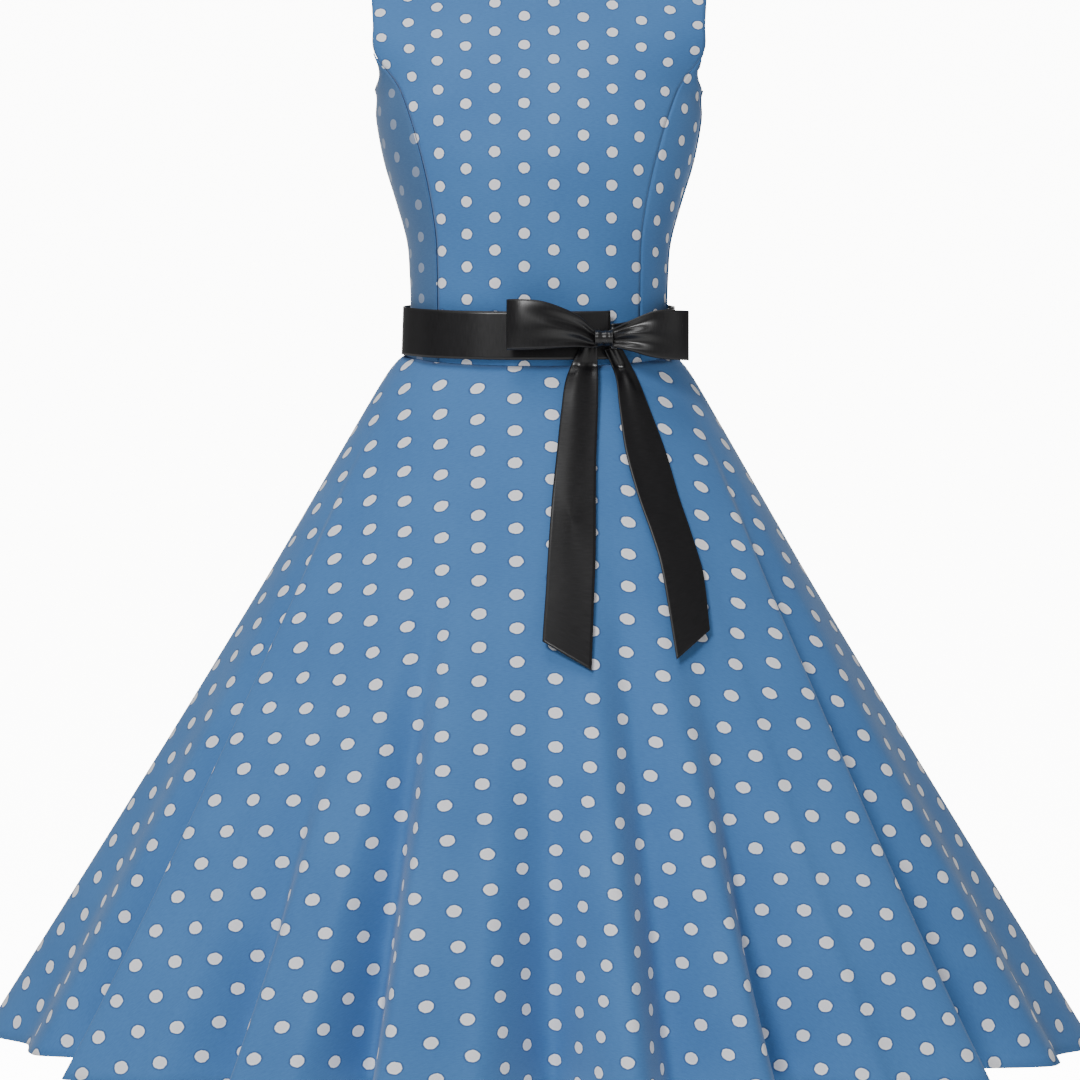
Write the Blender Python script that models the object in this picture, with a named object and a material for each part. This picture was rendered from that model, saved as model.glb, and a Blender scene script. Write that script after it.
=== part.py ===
"""Sleeveless A-line swing dress with a ribbon sash tied in a bow.

Metres, +Z up. The front of the dress faces -Y and the wearer's left is +X. The origin is the
middle of the shoulder line, where the wearer carries the dress, so the whole dress hangs below it.
Every cloth piece is a thin closed wall; its outer side lies on one of the surfaces below.
"""
import math
from collections import namedtuple

import bmesh
import bpy
from mathutils import Matrix, Vector

# ------------------------------------------------------------------ driving sizes
CLOTH = 0.0015                  # wall of the dress cloth
RIBBON = 0.0012                 # wall of the satin ribbon
GAP = 0.0003                    # clearance where two pieces meet
SEAM_INSET = 0.0004             # each side of a seam is drawn in by this much

NECK_HALF_WIDTH = 0.077
FRONT_NECK_DEPTH = 0.085
BACK_NECK_DEPTH = 0.022
SHOULDER_SLOPE = 0.29           # fall of the shoulder line for each metre outwards
SHOULDER_SOFTNESS = 0.04        # rounds that line where it crosses the centre
WAIST_DIP = 0.016               # the waist seam is this much lower at the front, higher behind
WAIST_DIP_FADES = 4.0           # bodice level at which the dip has gone
SECTION_POWER = 0.87            # sine power of a level section: 1 is an ellipse, less is squarer

HEM_HEIGHT = -1.087
HEM_HALF_WIDTH = 0.5155
HEM_FRONT = 0.375
HEM_BACK = 0.360
SIDE_KICK, FRONT_KICK, BACK_KICK = 0.0079, 0.004, 0.007   # quick flare just under the waist seam
KICK_RUN = 0.012                # share of the skirt's drop in which the kick grows
FOLD_SCALE = 2.0                # deepens every fold in the table below
FOLD_GROWTH = 1.3               # power with which a fold deepens below its start
FOLD_SWING = 2.0                # power with which a fold line turns from its waist to its hem angle

# Level sections of the bodice, from the waist seam up to the shoulder line. panel_edge is how far
# out the centre panel reaches: the princess seam up to the armhole, and the armhole edge above.
Level = namedtuple("Level", "height half_width front back panel_edge")
BODICE = (
    Level(-0.424, 0.1275, 0.0935, 0.0790, 0.0950),    # 0 waist seam
    Level(-0.385, 0.1222, 0.0895, 0.0765, 0.0955),    # 1 waist
    Level(-0.345, 0.1230, 0.0930, 0.0800, 0.0960),
    Level(-0.315, 0.1258, 0.1000, 0.0865, 0.0972),    # 3 ribs
    Level(-0.277, 0.1363, 0.1105, 0.0960, 0.1030),    # 4 under the bust
    Level(-0.240, 0.1475, 0.1165, 0.1050, 0.1115),    # 5 bust
    Level(-0.200, 0.1550, 0.1110, 0.1120, 0.1232),
    Level(-0.171, 0.1565, 0.1005, 0.1140, 0.1350),    # 7 underarm
    Level(-0.140, 0.1800, 0.0870, 0.1135, 0.1565),    # 8 princess seam meets the armhole
    Level(-0.110, 0.2050, 0.0720, 0.1090, 0.1580),    # 9 chest
    Level(-0.075, 0.2120, 0.0520, 0.0980, 0.1600),
    Level(-0.045, 0.2050, 0.0345, 0.0800, 0.1615),
    Level(-0.020, 0.1950, 0.0185, 0.0540, 0.1622),
    Level(-0.005, 0.1880, 0.0070, 0.0250, 0.1628),
    Level(0.000, 0.1850, 0.0000, 0.0000, 0.1630),     # 14 shoulder line
    Level(-0.005, 0.1880, -0.0250, -0.0070, 0.1628),  # over the ridge, so that it is round
)
UNDERARM, JOIN, SHOULDER = 7, 8, 14

# Ridges (+) and valleys (-) of the skirt, in order around it. Angles are in degrees from the
# centre front towards the wearer's left; depth is at the hem; start is the share of the drop at
# which the fold begins; lift raises the hem there.
Fold = namedtuple("Fold", "hem_angle waist_angle depth start lift")
FOLDS = (
    Fold(-171, -171, 0.014, 0.35, 0.000),
    Fold(-160, -160, -0.016, 0.30, 0.000),
    Fold(-150, -151, 0.016, 0.20, 0.000),
    Fold(-139, -140, -0.020, 0.30, 0.000),
    Fold(-128, -130, 0.015, 0.15, 0.003),
    Fold(-117, -119, -0.018, 0.35, 0.006),
    Fold(-105, -107, 0.012, 0.30, 0.010),
    Fold(-94, -96, -0.012, 0.40, 0.014),
    Fold(-83, -87, 0.008, 0.30, 0.016),
    Fold(-72, -79, -0.006, 0.40, 0.014),
    Fold(-62, -74, 0.004, 0.30, 0.012),
    Fold(-54, -69, -0.022, 0.25, 0.010),     # shadow behind the left ridge
    Fold(-49, -64, 0.022, 0.05, 0.002),      # left ridge, from the waist down
    Fold(-41, -52, 0.010, 0.20, 0.000),
    Fold(-34.5, -41, -0.018, 0.50, 0.000),
    Fold(-29.5, -35, 0.014, 0.45, 0.000),
    Fold(-24.5, -30, 0.006, 0.40, 0.000),
    Fold(-20, -25, -0.028, 0.25, 0.000),
    Fold(-14, -18, 0.018, 0.25, 0.000),
    Fold(-6.5, -8, 0.008, 0.40, 0.000),
    Fold(1.5, 0, -0.032, 0.42, 0.000),       # deep valley at the middle
    Fold(8.8, 9.5, 0.018, 0.20, 0.000),
    Fold(14.8, 18, -0.016, 0.20, 0.000),
    Fold(21.3, 25, 0.014, 0.30, 0.000),
    Fold(28.3, 33, -0.032, 0.38, 0.000),
    Fold(36, 43, 0.006, 0.30, 0.000),
    Fold(45, 60, 0.022, 0.05, 0.000),        # right ridge, from the waist down
    Fold(53, 66, -0.026, 0.12, 0.001),       # long shadow behind it
    Fold(64, 73, 0.006, 0.30, 0.001),
    Fold(75, 80, -0.006, 0.40, 0.001),
    Fold(86, 88, 0.008, 0.30, 0.001),
    Fold(97, 98, -0.014, 0.40, 0.000),
    Fold(108, 109, 0.014, 0.25, 0.000),
    Fold(120, 121, -0.018, 0.30, 0.000),
    Fold(131, 132, 0.016, 0.15, 0.000),
    Fold(142, 143, -0.020, 0.35, 0.000),
    Fold(152, 152, 0.014, 0.30, 0.000),
    Fold(161, 161, -0.018, 0.25, 0.000),
    Fold(170, 170, 0.015, 0.20, 0.000),
    Fold(180, 180, -0.012, 0.35, 0.000),
)
COLUMNS_PER_FOLD = 4
SKIRT_ROWS = (1.0, 0.96, 0.86, 0.73, 0.6, 0.46, 0.31, 0.16, 0.0)     # rise: 1 waist, 0 hem

# Ribbon sash around the waist.
SASH_HALF_WIDTH, SASH_FRONT, SASH_BACK = 0.1305, 0.0995, 0.0865
SASH_HEIGHT, SASH_DIP = -0.4013, 0.0105
SASH_WIDTH = 0.0455
SASH_FLARE = 0.0015             # the lower edge stands out this much more than the upper one
SASH_PINCH, SASH_PINCH_SPREAD = 0.55, 24.0     # narrowing towards the bow, and its half angle
BOW_ANGLE = 28.0                # the bow sits this far towards the wearer's left
SASH_COLUMNS = 60

# Bow: each loop runs from the knot out along its front layer, around its outer fold and back.
Turn = namedtuple("Turn", "x y centre half_height")
LEFT_SIDE_LOOP = (
    Turn(0.0575, -0.1095, -0.4145, 0.0042),
    Turn(0.0505, -0.1100, -0.4142, 0.0052),
    Turn(0.0350, -0.1180, -0.4078, 0.0150),
    Turn(0.0060, -0.1250, -0.4030, 0.0215),
    Turn(-0.0180, -0.1240, -0.4022, 0.0233),
    Turn(-0.0305, -0.1150, -0.4023, 0.0234),
    Turn(-0.0200, -0.1080, -0.4026, 0.0230),
    Turn(0.0060, -0.1068, -0.4040, 0.0205),
    Turn(0.0350, -0.1060, -0.4090, 0.0130),
    Turn(0.0505, -0.1042, -0.4142, 0.0052),
    Turn(0.0575, -0.1038, -0.4145, 0.0042),
)
RIGHT_SIDE_LOOP = (
    Turn(0.0635, -0.1095, -0.4145, 0.0042),
    Turn(0.0705, -0.1102, -0.4145, 0.0052),
    Turn(0.0860, -0.1145, -0.4128, 0.0145),
    Turn(0.1080, -0.1150, -0.4113, 0.0220),
    Turn(0.1290, -0.1085, -0.4116, 0.0233),
    Turn(0.1405, -0.0985, -0.4118, 0.0232),
    Turn(0.1300, -0.0945, -0.4118, 0.0225),
    Turn(0.1080, -0.0985, -0.4115, 0.0200),
    Turn(0.0860, -0.1022, -0.4130, 0.0130),
    Turn(0.0705, -0.1042, -0.4145, 0.0052),
    Turn(0.0635, -0.1038, -0.4145, 0.0042),
)
LOOP_STEPS, LOOP_ROWS = 30, 3

KNOT_CENTRE = Vector((0.0605, -0.1066, -0.4145))
KNOT_HALF_LENGTH = 0.0082
KNOT_HALF_DEPTH, KNOT_HALF_HEIGHT = 0.0085, 0.0072
KNOT_SIDES = 24

# Ribbon tails: left and right edges across the front at each height, and how far they stand off.
Hang = namedtuple("Hang", "height left right lift")
RIGHT_HAND_TAIL = (               # the tail nearer the middle
    Hang(-0.4224, 0.0385, 0.0535, 0.0150),
    Hang(-0.4510, 0.0255, 0.0551, 0.0105),
    Hang(-0.4833, 0.0204, 0.0547, 0.0075),
    Hang(-0.5276, 0.0157, 0.0530, 0.0065),
    Hang(-0.5636, 0.0119, 0.0525, 0.0065),
    Hang(-0.6140, 0.0082, 0.0520, 0.0070),
    Hang(-0.6600, 0.0056, 0.0500, 0.0100),
    Hang(-0.7075, 0.0030, 0.0475, 0.0135),
)
LEFT_HAND_TAIL = (                # the tail further out
    Hang(-0.4240, 0.0617, 0.0785, 0.0120),
    Hang(-0.4490, 0.0719, 0.0915, 0.0100),
    Hang(-0.4785, 0.0752, 0.1030, 0.0080),
    Hang(-0.5200, 0.0806, 0.1180, 0.0070),
    Hang(-0.5617, 0.0917, 0.1298, 0.0070),
    Hang(-0.5975, 0.1040, 0.1414, 0.0070),
    Hang(-0.6348, 0.1145, 0.1513, 0.0070),
    Hang(-0.6984, 0.1255, 0.1565, 0.0115),
)
TAIL_CUT_SLANT = 0.013          # a tail's end corners lie this far above and below its end
TAIL_STEPS, TAIL_COLUMNS = 14, 4

# Zip down the centre back.
TAPE_HALF_WIDTH, TAPE_WALL = 0.012, 0.001
TAPE_TOP, TAPE_BOTTOM = -0.030, -0.590
TAPE_CLEARANCE = 0.0025
TAPE_STEPS = 24
SLIDER_HEIGHT = -0.042          # height at which the closed slider sits
SLIDER_HALF_WIDTH, SLIDER_HALF_LENGTH, SLIDER_THICKNESS = 0.0028, 0.0048, 0.0022
BRIDGE_HALF_WIDTH, BRIDGE_HALF_LENGTH, BRIDGE_WALL = 0.0008, 0.0033, 0.0008
AXIS_ABOVE_SLIDER = 0.0012
BRIDGE_CLEARANCE = 0.00115      # from the pull's axis to the underside of the bridge
PULL_LENGTH, PULL_HALF_WIDTH, PULL_THICKNESS = 0.0235, 0.0028, 0.0012
PULL_SLOT_LENGTH, PULL_SLOT_HALF_WIDTH, PULL_BAR = 0.0040, 0.0015, 0.0007
PULL_TIP_CLEARANCE = 0.0040
PULL_SIDES = 28


# ------------------------------------------------------------------ curves and tables
def along(table, column, place):
    """Smooth value of a named column at a place counted in rows from the first one."""
    last = len(table) - 1
    row = min(max(int(place), 0), last - 1)
    near = [getattr(table[min(max(row + step, 0), last)], column) for step in (-1, 0, 1, 2)]
    share = place - row
    start_slope = (near[2] - near[0]) / 2
    end_slope = (near[3] - near[1]) / 2
    change = near[2] - near[1]
    square = share * share
    return (near[1] + start_slope * share + (3 * change - 2 * start_slope - end_slope) * square
            + (start_slope + end_slope - 2 * change) * square * share)


def soft_step(share):
    share = min(max(share, 0.0), 1.0)
    return share * share * (3 - 2 * share)


def signed_power(value, power):
    return math.copysign(abs(value) ** power, value)


def section(angle, half_width, front, back, power):
    """Point of a level section; angle 0 is the centre front and +90 degrees the wearer's left."""
    depth = front if math.cos(angle) >= 0 else back
    return (half_width * signed_power(math.sin(angle), power),
            -depth * signed_power(math.cos(angle), power))


def bisect(function, low, high):
    """Where a rising function crosses zero."""
    for _ in range(40):
        middle = (low + high) / 2
        if function(middle) < 0:
            low = middle
        else:
            high = middle
    return (low + high) / 2


# ------------------------------------------------------------------ surfaces of the dress
def bodice(angle, level):
    half_width = along(BODICE, "half_width", level)
    x, y = section(angle, half_width, along(BODICE, "front", level),
                   along(BODICE, "back", level), SECTION_POWER)
    low = max(0.0, 1 - level / WAIST_DIP_FADES) ** 2
    high = soft_step((level - UNDERARM) / (SHOULDER - UNDERARM))
    fall = math.hypot(x, SHOULDER_SOFTNESS) - math.hypot(NECK_HALF_WIDTH, SHOULDER_SOFTNESS)
    z = (along(BODICE, "height", level) - WAIST_DIP * math.cos(angle) * low
         - SHOULDER_SLOPE * fall * high)
    return Vector((x, y, z))


def angle_at(x, level):
    """Angle from the centre line at which the bodice is x wide."""
    share = min(x / along(BODICE, "half_width", level), 1.0)
    return math.asin(share ** (1 / SECTION_POWER))


def front_edge(level):
    return angle_at(along(BODICE, "panel_edge", level), level)


def back_edge(level):
    """Half angle of a back panel: the side seam, then the armhole's round bottom and its edge."""
    if level <= UNDERARM:
        return math.pi / 2
    if level >= JOIN:
        return front_edge(level)
    share = (JOIN - level) / (JOIN - UNDERARM)
    return math.pi / 2 - (math.pi / 2 - front_edge(JOIN)) * math.sqrt(1 - share * share)


def armhole_level(share):
    """Level of the armhole's front lower edge, from the princess seam (0) to the underarm (1)."""
    return UNDERARM + (JOIN - UNDERARM) * (1 - math.sqrt(1 - (1 - share) ** 2))


def neck_column(edge):
    """Share of the panel's half angle at which its column runs up to the neck's corner."""
    return bisect(lambda share: bodice(share * edge(SHOULDER), SHOULDER).x - NECK_HALF_WIDTH, 0, 1)


def column_top(share, edge, neck_depth):
    """Level at which a column ends: on the neckline, or else on the shoulder seam."""
    if share >= neck_column(edge) - 1e-6:
        return SHOULDER

    def inside_neck(level):
        point = bodice(share * edge(level), level)
        return 1 - (point.x / NECK_HALF_WIDTH) ** 2 - (point.z / neck_depth) ** 2

    return bisect(inside_neck, UNDERARM - 1, SHOULDER)


def column_level(row, top):
    """Rows follow the levels up to the princess seam's end, then spread to the column's top."""
    return row if row <= JOIN else JOIN + (row - JOIN) * (top - JOIN) / (SHOULDER - JOIN)


def fold_mix(hem_angle, value):
    """Blend a value of the folds on either side of an angle."""
    for before, after in zip(FOLDS[-1:] + FOLDS[:-1], FOLDS):
        low = before.hem_angle - (360 if before.hem_angle > after.hem_angle else 0)
        if hem_angle <= after.hem_angle:
            share = soft_step((hem_angle - low) / (after.hem_angle - low))
            return value(before) + (value(after) - value(before)) * share
    return value(FOLDS[-1])


def fold_depth(hem_angle, drop):
    def grown(fold):
        return FOLD_SCALE * fold.depth * max(0.0, (drop - fold.start) / (1 - fold.start)) ** FOLD_GROWTH

    return fold_mix(hem_angle, grown)


def skirt_base(angle, drop):
    """The skirt's flare without its folds."""
    waist = BODICE[0]
    kick = (1 - math.exp(-drop / KICK_RUN)) * (1 - drop)
    half_width = waist.half_width + (HEM_HALF_WIDTH - waist.half_width) * drop + SIDE_KICK * kick
    front = waist.front + (HEM_FRONT - waist.front) * drop + FRONT_KICK * kick
    back = waist.back + (HEM_BACK - waist.back) * drop + BACK_KICK * kick
    power = SECTION_POWER + (1 - SECTION_POWER) * min(1.0, 3 * drop)
    return section(angle, half_width, front, back, power)


def skirt(hem_angle, rise):
    """Skirt surface; hem_angle in degrees, rise 1 at the waist seam and 0 at the hem."""
    drop = 1 - rise
    swing = fold_mix(hem_angle, lambda fold: fold.waist_angle - fold.hem_angle)
    angle = math.radians(hem_angle + swing * rise ** FOLD_SWING)
    x, y = skirt_base(angle, drop)
    out = 1 + fold_depth(hem_angle, drop) / math.hypot(x, y)
    waist_height = BODICE[0].height - WAIST_DIP * math.cos(angle)
    hem_height = HEM_HEIGHT + fold_mix(hem_angle, lambda fold: fold.lift)
    return Vector((x * out, y * out, waist_height + (hem_height - waist_height) * drop))


def front_of_skirt(x, z):
    """How far forward the smooth skirt front is, at a place seen from the front."""
    top = BODICE[0].height - WAIST_DIP
    drop = min(max((top - z) / (top - HEM_HEIGHT), 0.0), 1.0)
    angle = bisect(lambda turn: skirt_base(turn, drop)[0] - x, 0, math.pi / 2)
    return skirt_base(angle, drop)[1]


def back_line(z):
    """Outer y of the dress along its centre back."""
    waist = BODICE[0].height + WAIST_DIP
    if z >= waist:
        level = bisect(lambda place: bodice(math.pi, place).z - z, 0, SHOULDER)
        return bodice(math.pi, level).y
    return skirt_base(math.pi, (waist - z) / (waist - HEM_HEIGHT))[1]


# ------------------------------------------------------------------ making closed walls of cloth
def outward(surface, a, b):
    step = 1e-4
    across = surface(a + step, b) - surface(a - step, b)
    up = surface(a, b + step) - surface(a, b - step)
    return across.cross(up).normalized()


def drawn_in(places, surface):
    """The same rows of places, with the border moved in to leave the gaps between pieces."""
    last_row, last_column = len(places) - 1, len(places[0]) - 1
    result = []
    for row, line in enumerate(places):
        new_line = []
        for column, place in enumerate(line):
            inner = places[min(max(row, 1), last_row - 1)][min(max(column, 1), last_column - 1)]
            step = (surface(*inner) - surface(*place)).length
            share = SEAM_INSET / step if step > SEAM_INSET else 0.0
            new_line.append(tuple(old + (new - old) * share for old, new in zip(place, inner)))
        result.append(new_line)
    return result


def wall(name, surface, places, thickness, material):
    """Closed wall whose outer side goes through surface(a, b) at rows of places (a, b)."""
    rows, columns = len(places), len(places[0])
    mesh = bmesh.new()
    bmesh.ops.create_grid(mesh, x_segments=columns - 1, y_segments=rows - 1, size=1.0)
    copied = bmesh.ops.extrude_face_region(mesh, geom=mesh.faces[:])["geom"]
    inner = {item for item in copied if isinstance(item, bmesh.types.BMVert)}
    for vert in mesh.verts:
        column = round((vert.co.x + 1) / 2 * (columns - 1))
        row = round((vert.co.y + 1) / 2 * (rows - 1))
        a, b = places[row][column]
        vert.co = surface(a, b) - outward(surface, a, b) * (thickness if vert in inner else 0)
    return finish(name, mesh, material)


def finish(name, mesh, material, smooth=True):
    bmesh.ops.recalc_face_normals(mesh, faces=mesh.faces[:])
    data = bpy.data.meshes.new(name)
    mesh.to_mesh(data)
    mesh.free()
    if smooth:
        data.shade_smooth()
        data.set_sharp_from_angle(angle=math.radians(40))
    data.materials.append(material)
    thing = bpy.data.objects.new(name, data)
    bpy.context.scene.collection.objects.link(thing)
    return thing


def finish_material(name, colour, roughness, metallic=0.0):
    material = bpy.data.materials.new(name)
    material.use_nodes = True
    shader = material.node_tree.nodes["Principled BSDF"]
    shader.inputs["Base Color"].default_value = (*colour, 1.0)
    shader.inputs["Roughness"].default_value = roughness
    shader.inputs["Metallic"].default_value = metallic
    return material


def spread(low, high, steps):
    return [low + (high - low) * step / steps for step in range(steps + 1)]


# ------------------------------------------------------------------ bodice
FRONT_ROWS = (0, 0.5, 1, 2, 3, 4, 4.5, 5, 5.5, 6, 7, 7.5, 8, 9, 10, 11, 12, 13, 14)
SIDE_ROWS = tuple(row for row in FRONT_ROWS if row <= JOIN)
BACK_ROWS = (0, 0.5, 1, 2, 3, 4, 5, 6, 7, 7.04, 7.15, 7.35, 7.65, 8, 9, 10, 11, 12, 13, 14)


def half_columns(edge):
    corner = neck_column(edge)
    return spread(0, corner, 5) + spread(corner, 1, 3)[1:]


def bodice_centre_front(material):
    shares = half_columns(front_edge)
    shares = [-share for share in reversed(shares[1:])] + shares
    tops = [column_top(abs(share), front_edge, FRONT_NECK_DEPTH) for share in shares]
    places = []
    for row in FRONT_ROWS:
        levels = [column_level(row, top) for top in tops]
        places.append([(share * front_edge(level), level) for share, level in zip(shares, levels)])
    wall("bodice_centre_front", bodice, drawn_in(places, bodice), CLOTH, material)


def bodice_side_front(name, side, material):
    shares = spread(0, 1, 5)
    places = []
    for row in SIDE_ROWS:
        line = []
        for share in shares:
            level = row / JOIN * armhole_level(share)
            seam = front_edge(level)
            line.append((side * (seam + (math.pi / 2 - seam) * share), level))
        places.append(line)
    wall(name, bodice, drawn_in(places, bodice), CLOTH, material)


def bodice_back(name, side, material):
    shares = half_columns(back_edge)
    tops = [column_top(share, back_edge, BACK_NECK_DEPTH) for share in shares]
    places = []
    for row in BACK_ROWS:
        levels = [column_level(row, top) for top in tops]
        places.append([(side * (math.pi - share * back_edge(level)), level)
                       for share, level in zip(shares, levels)])
    wall(name, bodice, drawn_in(places, bodice), CLOTH, material)


# ------------------------------------------------------------------ skirt
def skirt_panel(name, low_angle, high_angle, material):
    """One skirt panel between two hem angles, with its columns on the fold lines."""
    stops = [fold.hem_angle for fold in FOLDS if low_angle < fold.hem_angle < high_angle]
    stops = [low_angle] + stops + [high_angle]
    columns = [low_angle]
    for before, after in zip(stops, stops[1:]):
        pieces = max(1, round(COLUMNS_PER_FOLD * min(1.0, (after - before) / 6)))
        columns += spread(before, after, pieces)[1:]
    places = [[(angle, rise) for angle in columns] for rise in SKIRT_ROWS]
    wall(name, skirt, drawn_in(places, skirt), CLOTH, material)


# ------------------------------------------------------------------ sash and bow
def sash(angle, across):
    """Sash surface; angle in degrees, across -0.5 at its lower edge and 0.5 at its upper one."""
    flare = SASH_FLARE * (0.5 - across)
    turn = math.radians(angle)
    x, y = section(turn, SASH_HALF_WIDTH + flare, SASH_FRONT + flare, SASH_BACK + flare,
                   SECTION_POWER)
    pinch = 1 - SASH_PINCH * math.exp(-((angle - BOW_ANGLE) / SASH_PINCH_SPREAD) ** 2)
    return Vector((x, y, SASH_HEIGHT - SASH_DIP * math.cos(turn) + SASH_WIDTH * pinch * across))


def sash_band(material):
    """The band closes on itself behind the knot, where its ends tie."""
    places = [[(angle, across) for angle in spread(BOW_ANGLE + 0.3, BOW_ANGLE + 359.7, SASH_COLUMNS)]
              for across in spread(-0.5, 0.5, 2)]
    wall("sash_band", sash, places, RIBBON, material)


def bow_loop(name, turns, way, material):
    """A ribbon loop; way is 1 where its front layer runs towards +X and -1 towards -X."""
    def ribbon(place, across):
        return Vector((along(turns, "x", place), along(turns, "y", place),
                       along(turns, "centre", place)
                       + along(turns, "half_height", place) * across * way))

    places = [[(place, across) for place in spread(0, len(turns) - 1, LOOP_STEPS)]
              for across in spread(-1, 1, LOOP_ROWS)]
    wall(name, ribbon, places, RIBBON, material)


def bow_knot(material):
    """A short ribbon tube wrapped around the gathered loops."""
    rings = []
    mesh = bmesh.new()
    for half_depth, half_height in ((KNOT_HALF_DEPTH, KNOT_HALF_HEIGHT),
                                    (KNOT_HALF_DEPTH - RIBBON, KNOT_HALF_HEIGHT - RIBBON)):
        for end in (-KNOT_HALF_LENGTH, KNOT_HALF_LENGTH):
            shape = (Matrix.Translation(KNOT_CENTRE + Vector((end, 0, 0)))
                     @ Matrix.Diagonal((1, half_depth, half_height, 1))
                     @ Matrix.Rotation(math.pi / 2, 4, "Y"))
            made = bmesh.ops.create_circle(mesh, segments=KNOT_SIDES, radius=1, matrix=shape)
            rings.append({edge for vert in made["verts"] for edge in vert.link_edges})
    outer_start, outer_end, inner_start, inner_end = rings
    for first, second in ((outer_start, outer_end), (outer_end, inner_end),
                          (inner_end, inner_start), (inner_start, outer_start)):
        bmesh.ops.bridge_loops(mesh, edges=list(first | second))
    return finish("bow_knot", mesh, material)


def ribbon_tail(name, hangs, slant, material):
    """A hanging ribbon end with a slanted cut; slant is +1 where its left corner is lower."""
    last = len(hangs) - 1

    def ribbon(across, up):
        place = last * (1 - up)
        left, right = along(hangs, "left", place), along(hangs, "right", place)
        x = (left + right) / 2 + (right - left) * across
        end_share = soft_step((place - last + 1.5) / 1.5)
        z = along(hangs, "height", place) + slant * TAIL_CUT_SLANT * 2 * across * end_share
        return Vector((x, front_of_skirt(x, z) - along(hangs, "lift", place), z))

    places = [[(across, up) for across in spread(-0.5, 0.5, TAIL_COLUMNS)]
              for up in spread(0, 1, TAIL_STEPS)]
    wall(name, ribbon, places, RIBBON, material)


# ------------------------------------------------------------------ zip
def zip_tape(material):
    """Woven tape behind the centre back seam, on the inside of the dress."""
    def tape(x, up):
        z = TAPE_BOTTOM + (TAPE_TOP - TAPE_BOTTOM) * up
        step = 0.002
        slope = (back_line(z + step) - back_line(z - step)) / (2 * step)
        inside = (CLOTH + TAPE_CLEARANCE) * math.hypot(1, slope)
        return Vector((-x, back_line(z) - inside, z))

    places = [[(x, up) for x in spread(-TAPE_HALF_WIDTH, TAPE_HALF_WIDTH, 2)]
              for up in spread(0, 1, TAPE_STEPS)]
    wall("zip_tape", tape, places, TAPE_WALL, material)


def slider_frame():
    """Place on the centre back seam with local X across, Y outwards and Z up along the seam."""
    step = 0.002
    low = Vector((0, back_line(SLIDER_HEIGHT - step), SLIDER_HEIGHT - step))
    high = Vector((0, back_line(SLIDER_HEIGHT + step), SLIDER_HEIGHT + step))
    up = (high - low).normalized()
    side = Vector((1, 0, 0))
    out = up.cross(side).normalized()
    turned = Matrix((side, out, up)).transposed().to_4x4()
    return Matrix.Translation((low + high) / 2) @ turned


def zip_slider(material):
    """Slider plate with a bridge that the pull tab's bar turns under."""
    place = slider_frame()
    mesh = bmesh.new()
    middle = GAP + SLIDER_THICKNESS / 2
    size = (2 * SLIDER_HALF_WIDTH, SLIDER_THICKNESS, 2 * SLIDER_HALF_LENGTH, 1)
    bmesh.ops.create_cube(mesh, size=1, matrix=Matrix.Translation((0, middle, 0))
                          @ Matrix.Diagonal(size))
    bmesh.ops.bevel(mesh, geom=mesh.edges[:], offset=0.0006, segments=2, profile=0.5,
                    affect="EDGES", material=-1)
    slider = finish("zip_slider", mesh, material)

    # the bridge's outline, standing on the plate
    base = GAP + SLIDER_THICKNESS / 2
    under = GAP + SLIDER_THICKNESS + AXIS_ABOVE_SLIDER + BRIDGE_CLEARANCE
    top = under + BRIDGE_WALL
    inside = BRIDGE_HALF_LENGTH - BRIDGE_WALL
    outline = [(base, BRIDGE_HALF_LENGTH), (top - BRIDGE_WALL, BRIDGE_HALF_LENGTH),
               (top, inside), (top, -inside), (top - BRIDGE_WALL, -BRIDGE_HALF_LENGTH),
               (base, -BRIDGE_HALF_LENGTH), (base, -inside), (under, -inside),
               (under, inside), (base, inside)]
    mesh = bmesh.new()
    corners = [mesh.verts.new((-BRIDGE_HALF_WIDTH, y, z)) for y, z in outline]
    face = mesh.faces.new(corners)
    swept = bmesh.ops.extrude_face_region(mesh, geom=[face])["geom"]
    moved = [item for item in swept if isinstance(item, bmesh.types.BMVert)]
    bmesh.ops.translate(mesh, vec=(2 * BRIDGE_HALF_WIDTH, 0, 0), verts=moved)
    bridge = finish("zip_bridge_guide", mesh, material, smooth=False)
    bridge.hide_render = True
    bridge.display_type = "WIRE"

    union = slider.modifiers.new("bridge", "BOOLEAN")
    union.operation = "UNION"
    union.solver = "EXACT"
    union.object = bridge
    slider.matrix_world = place
    bridge.matrix_world = place
    return slider


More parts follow.
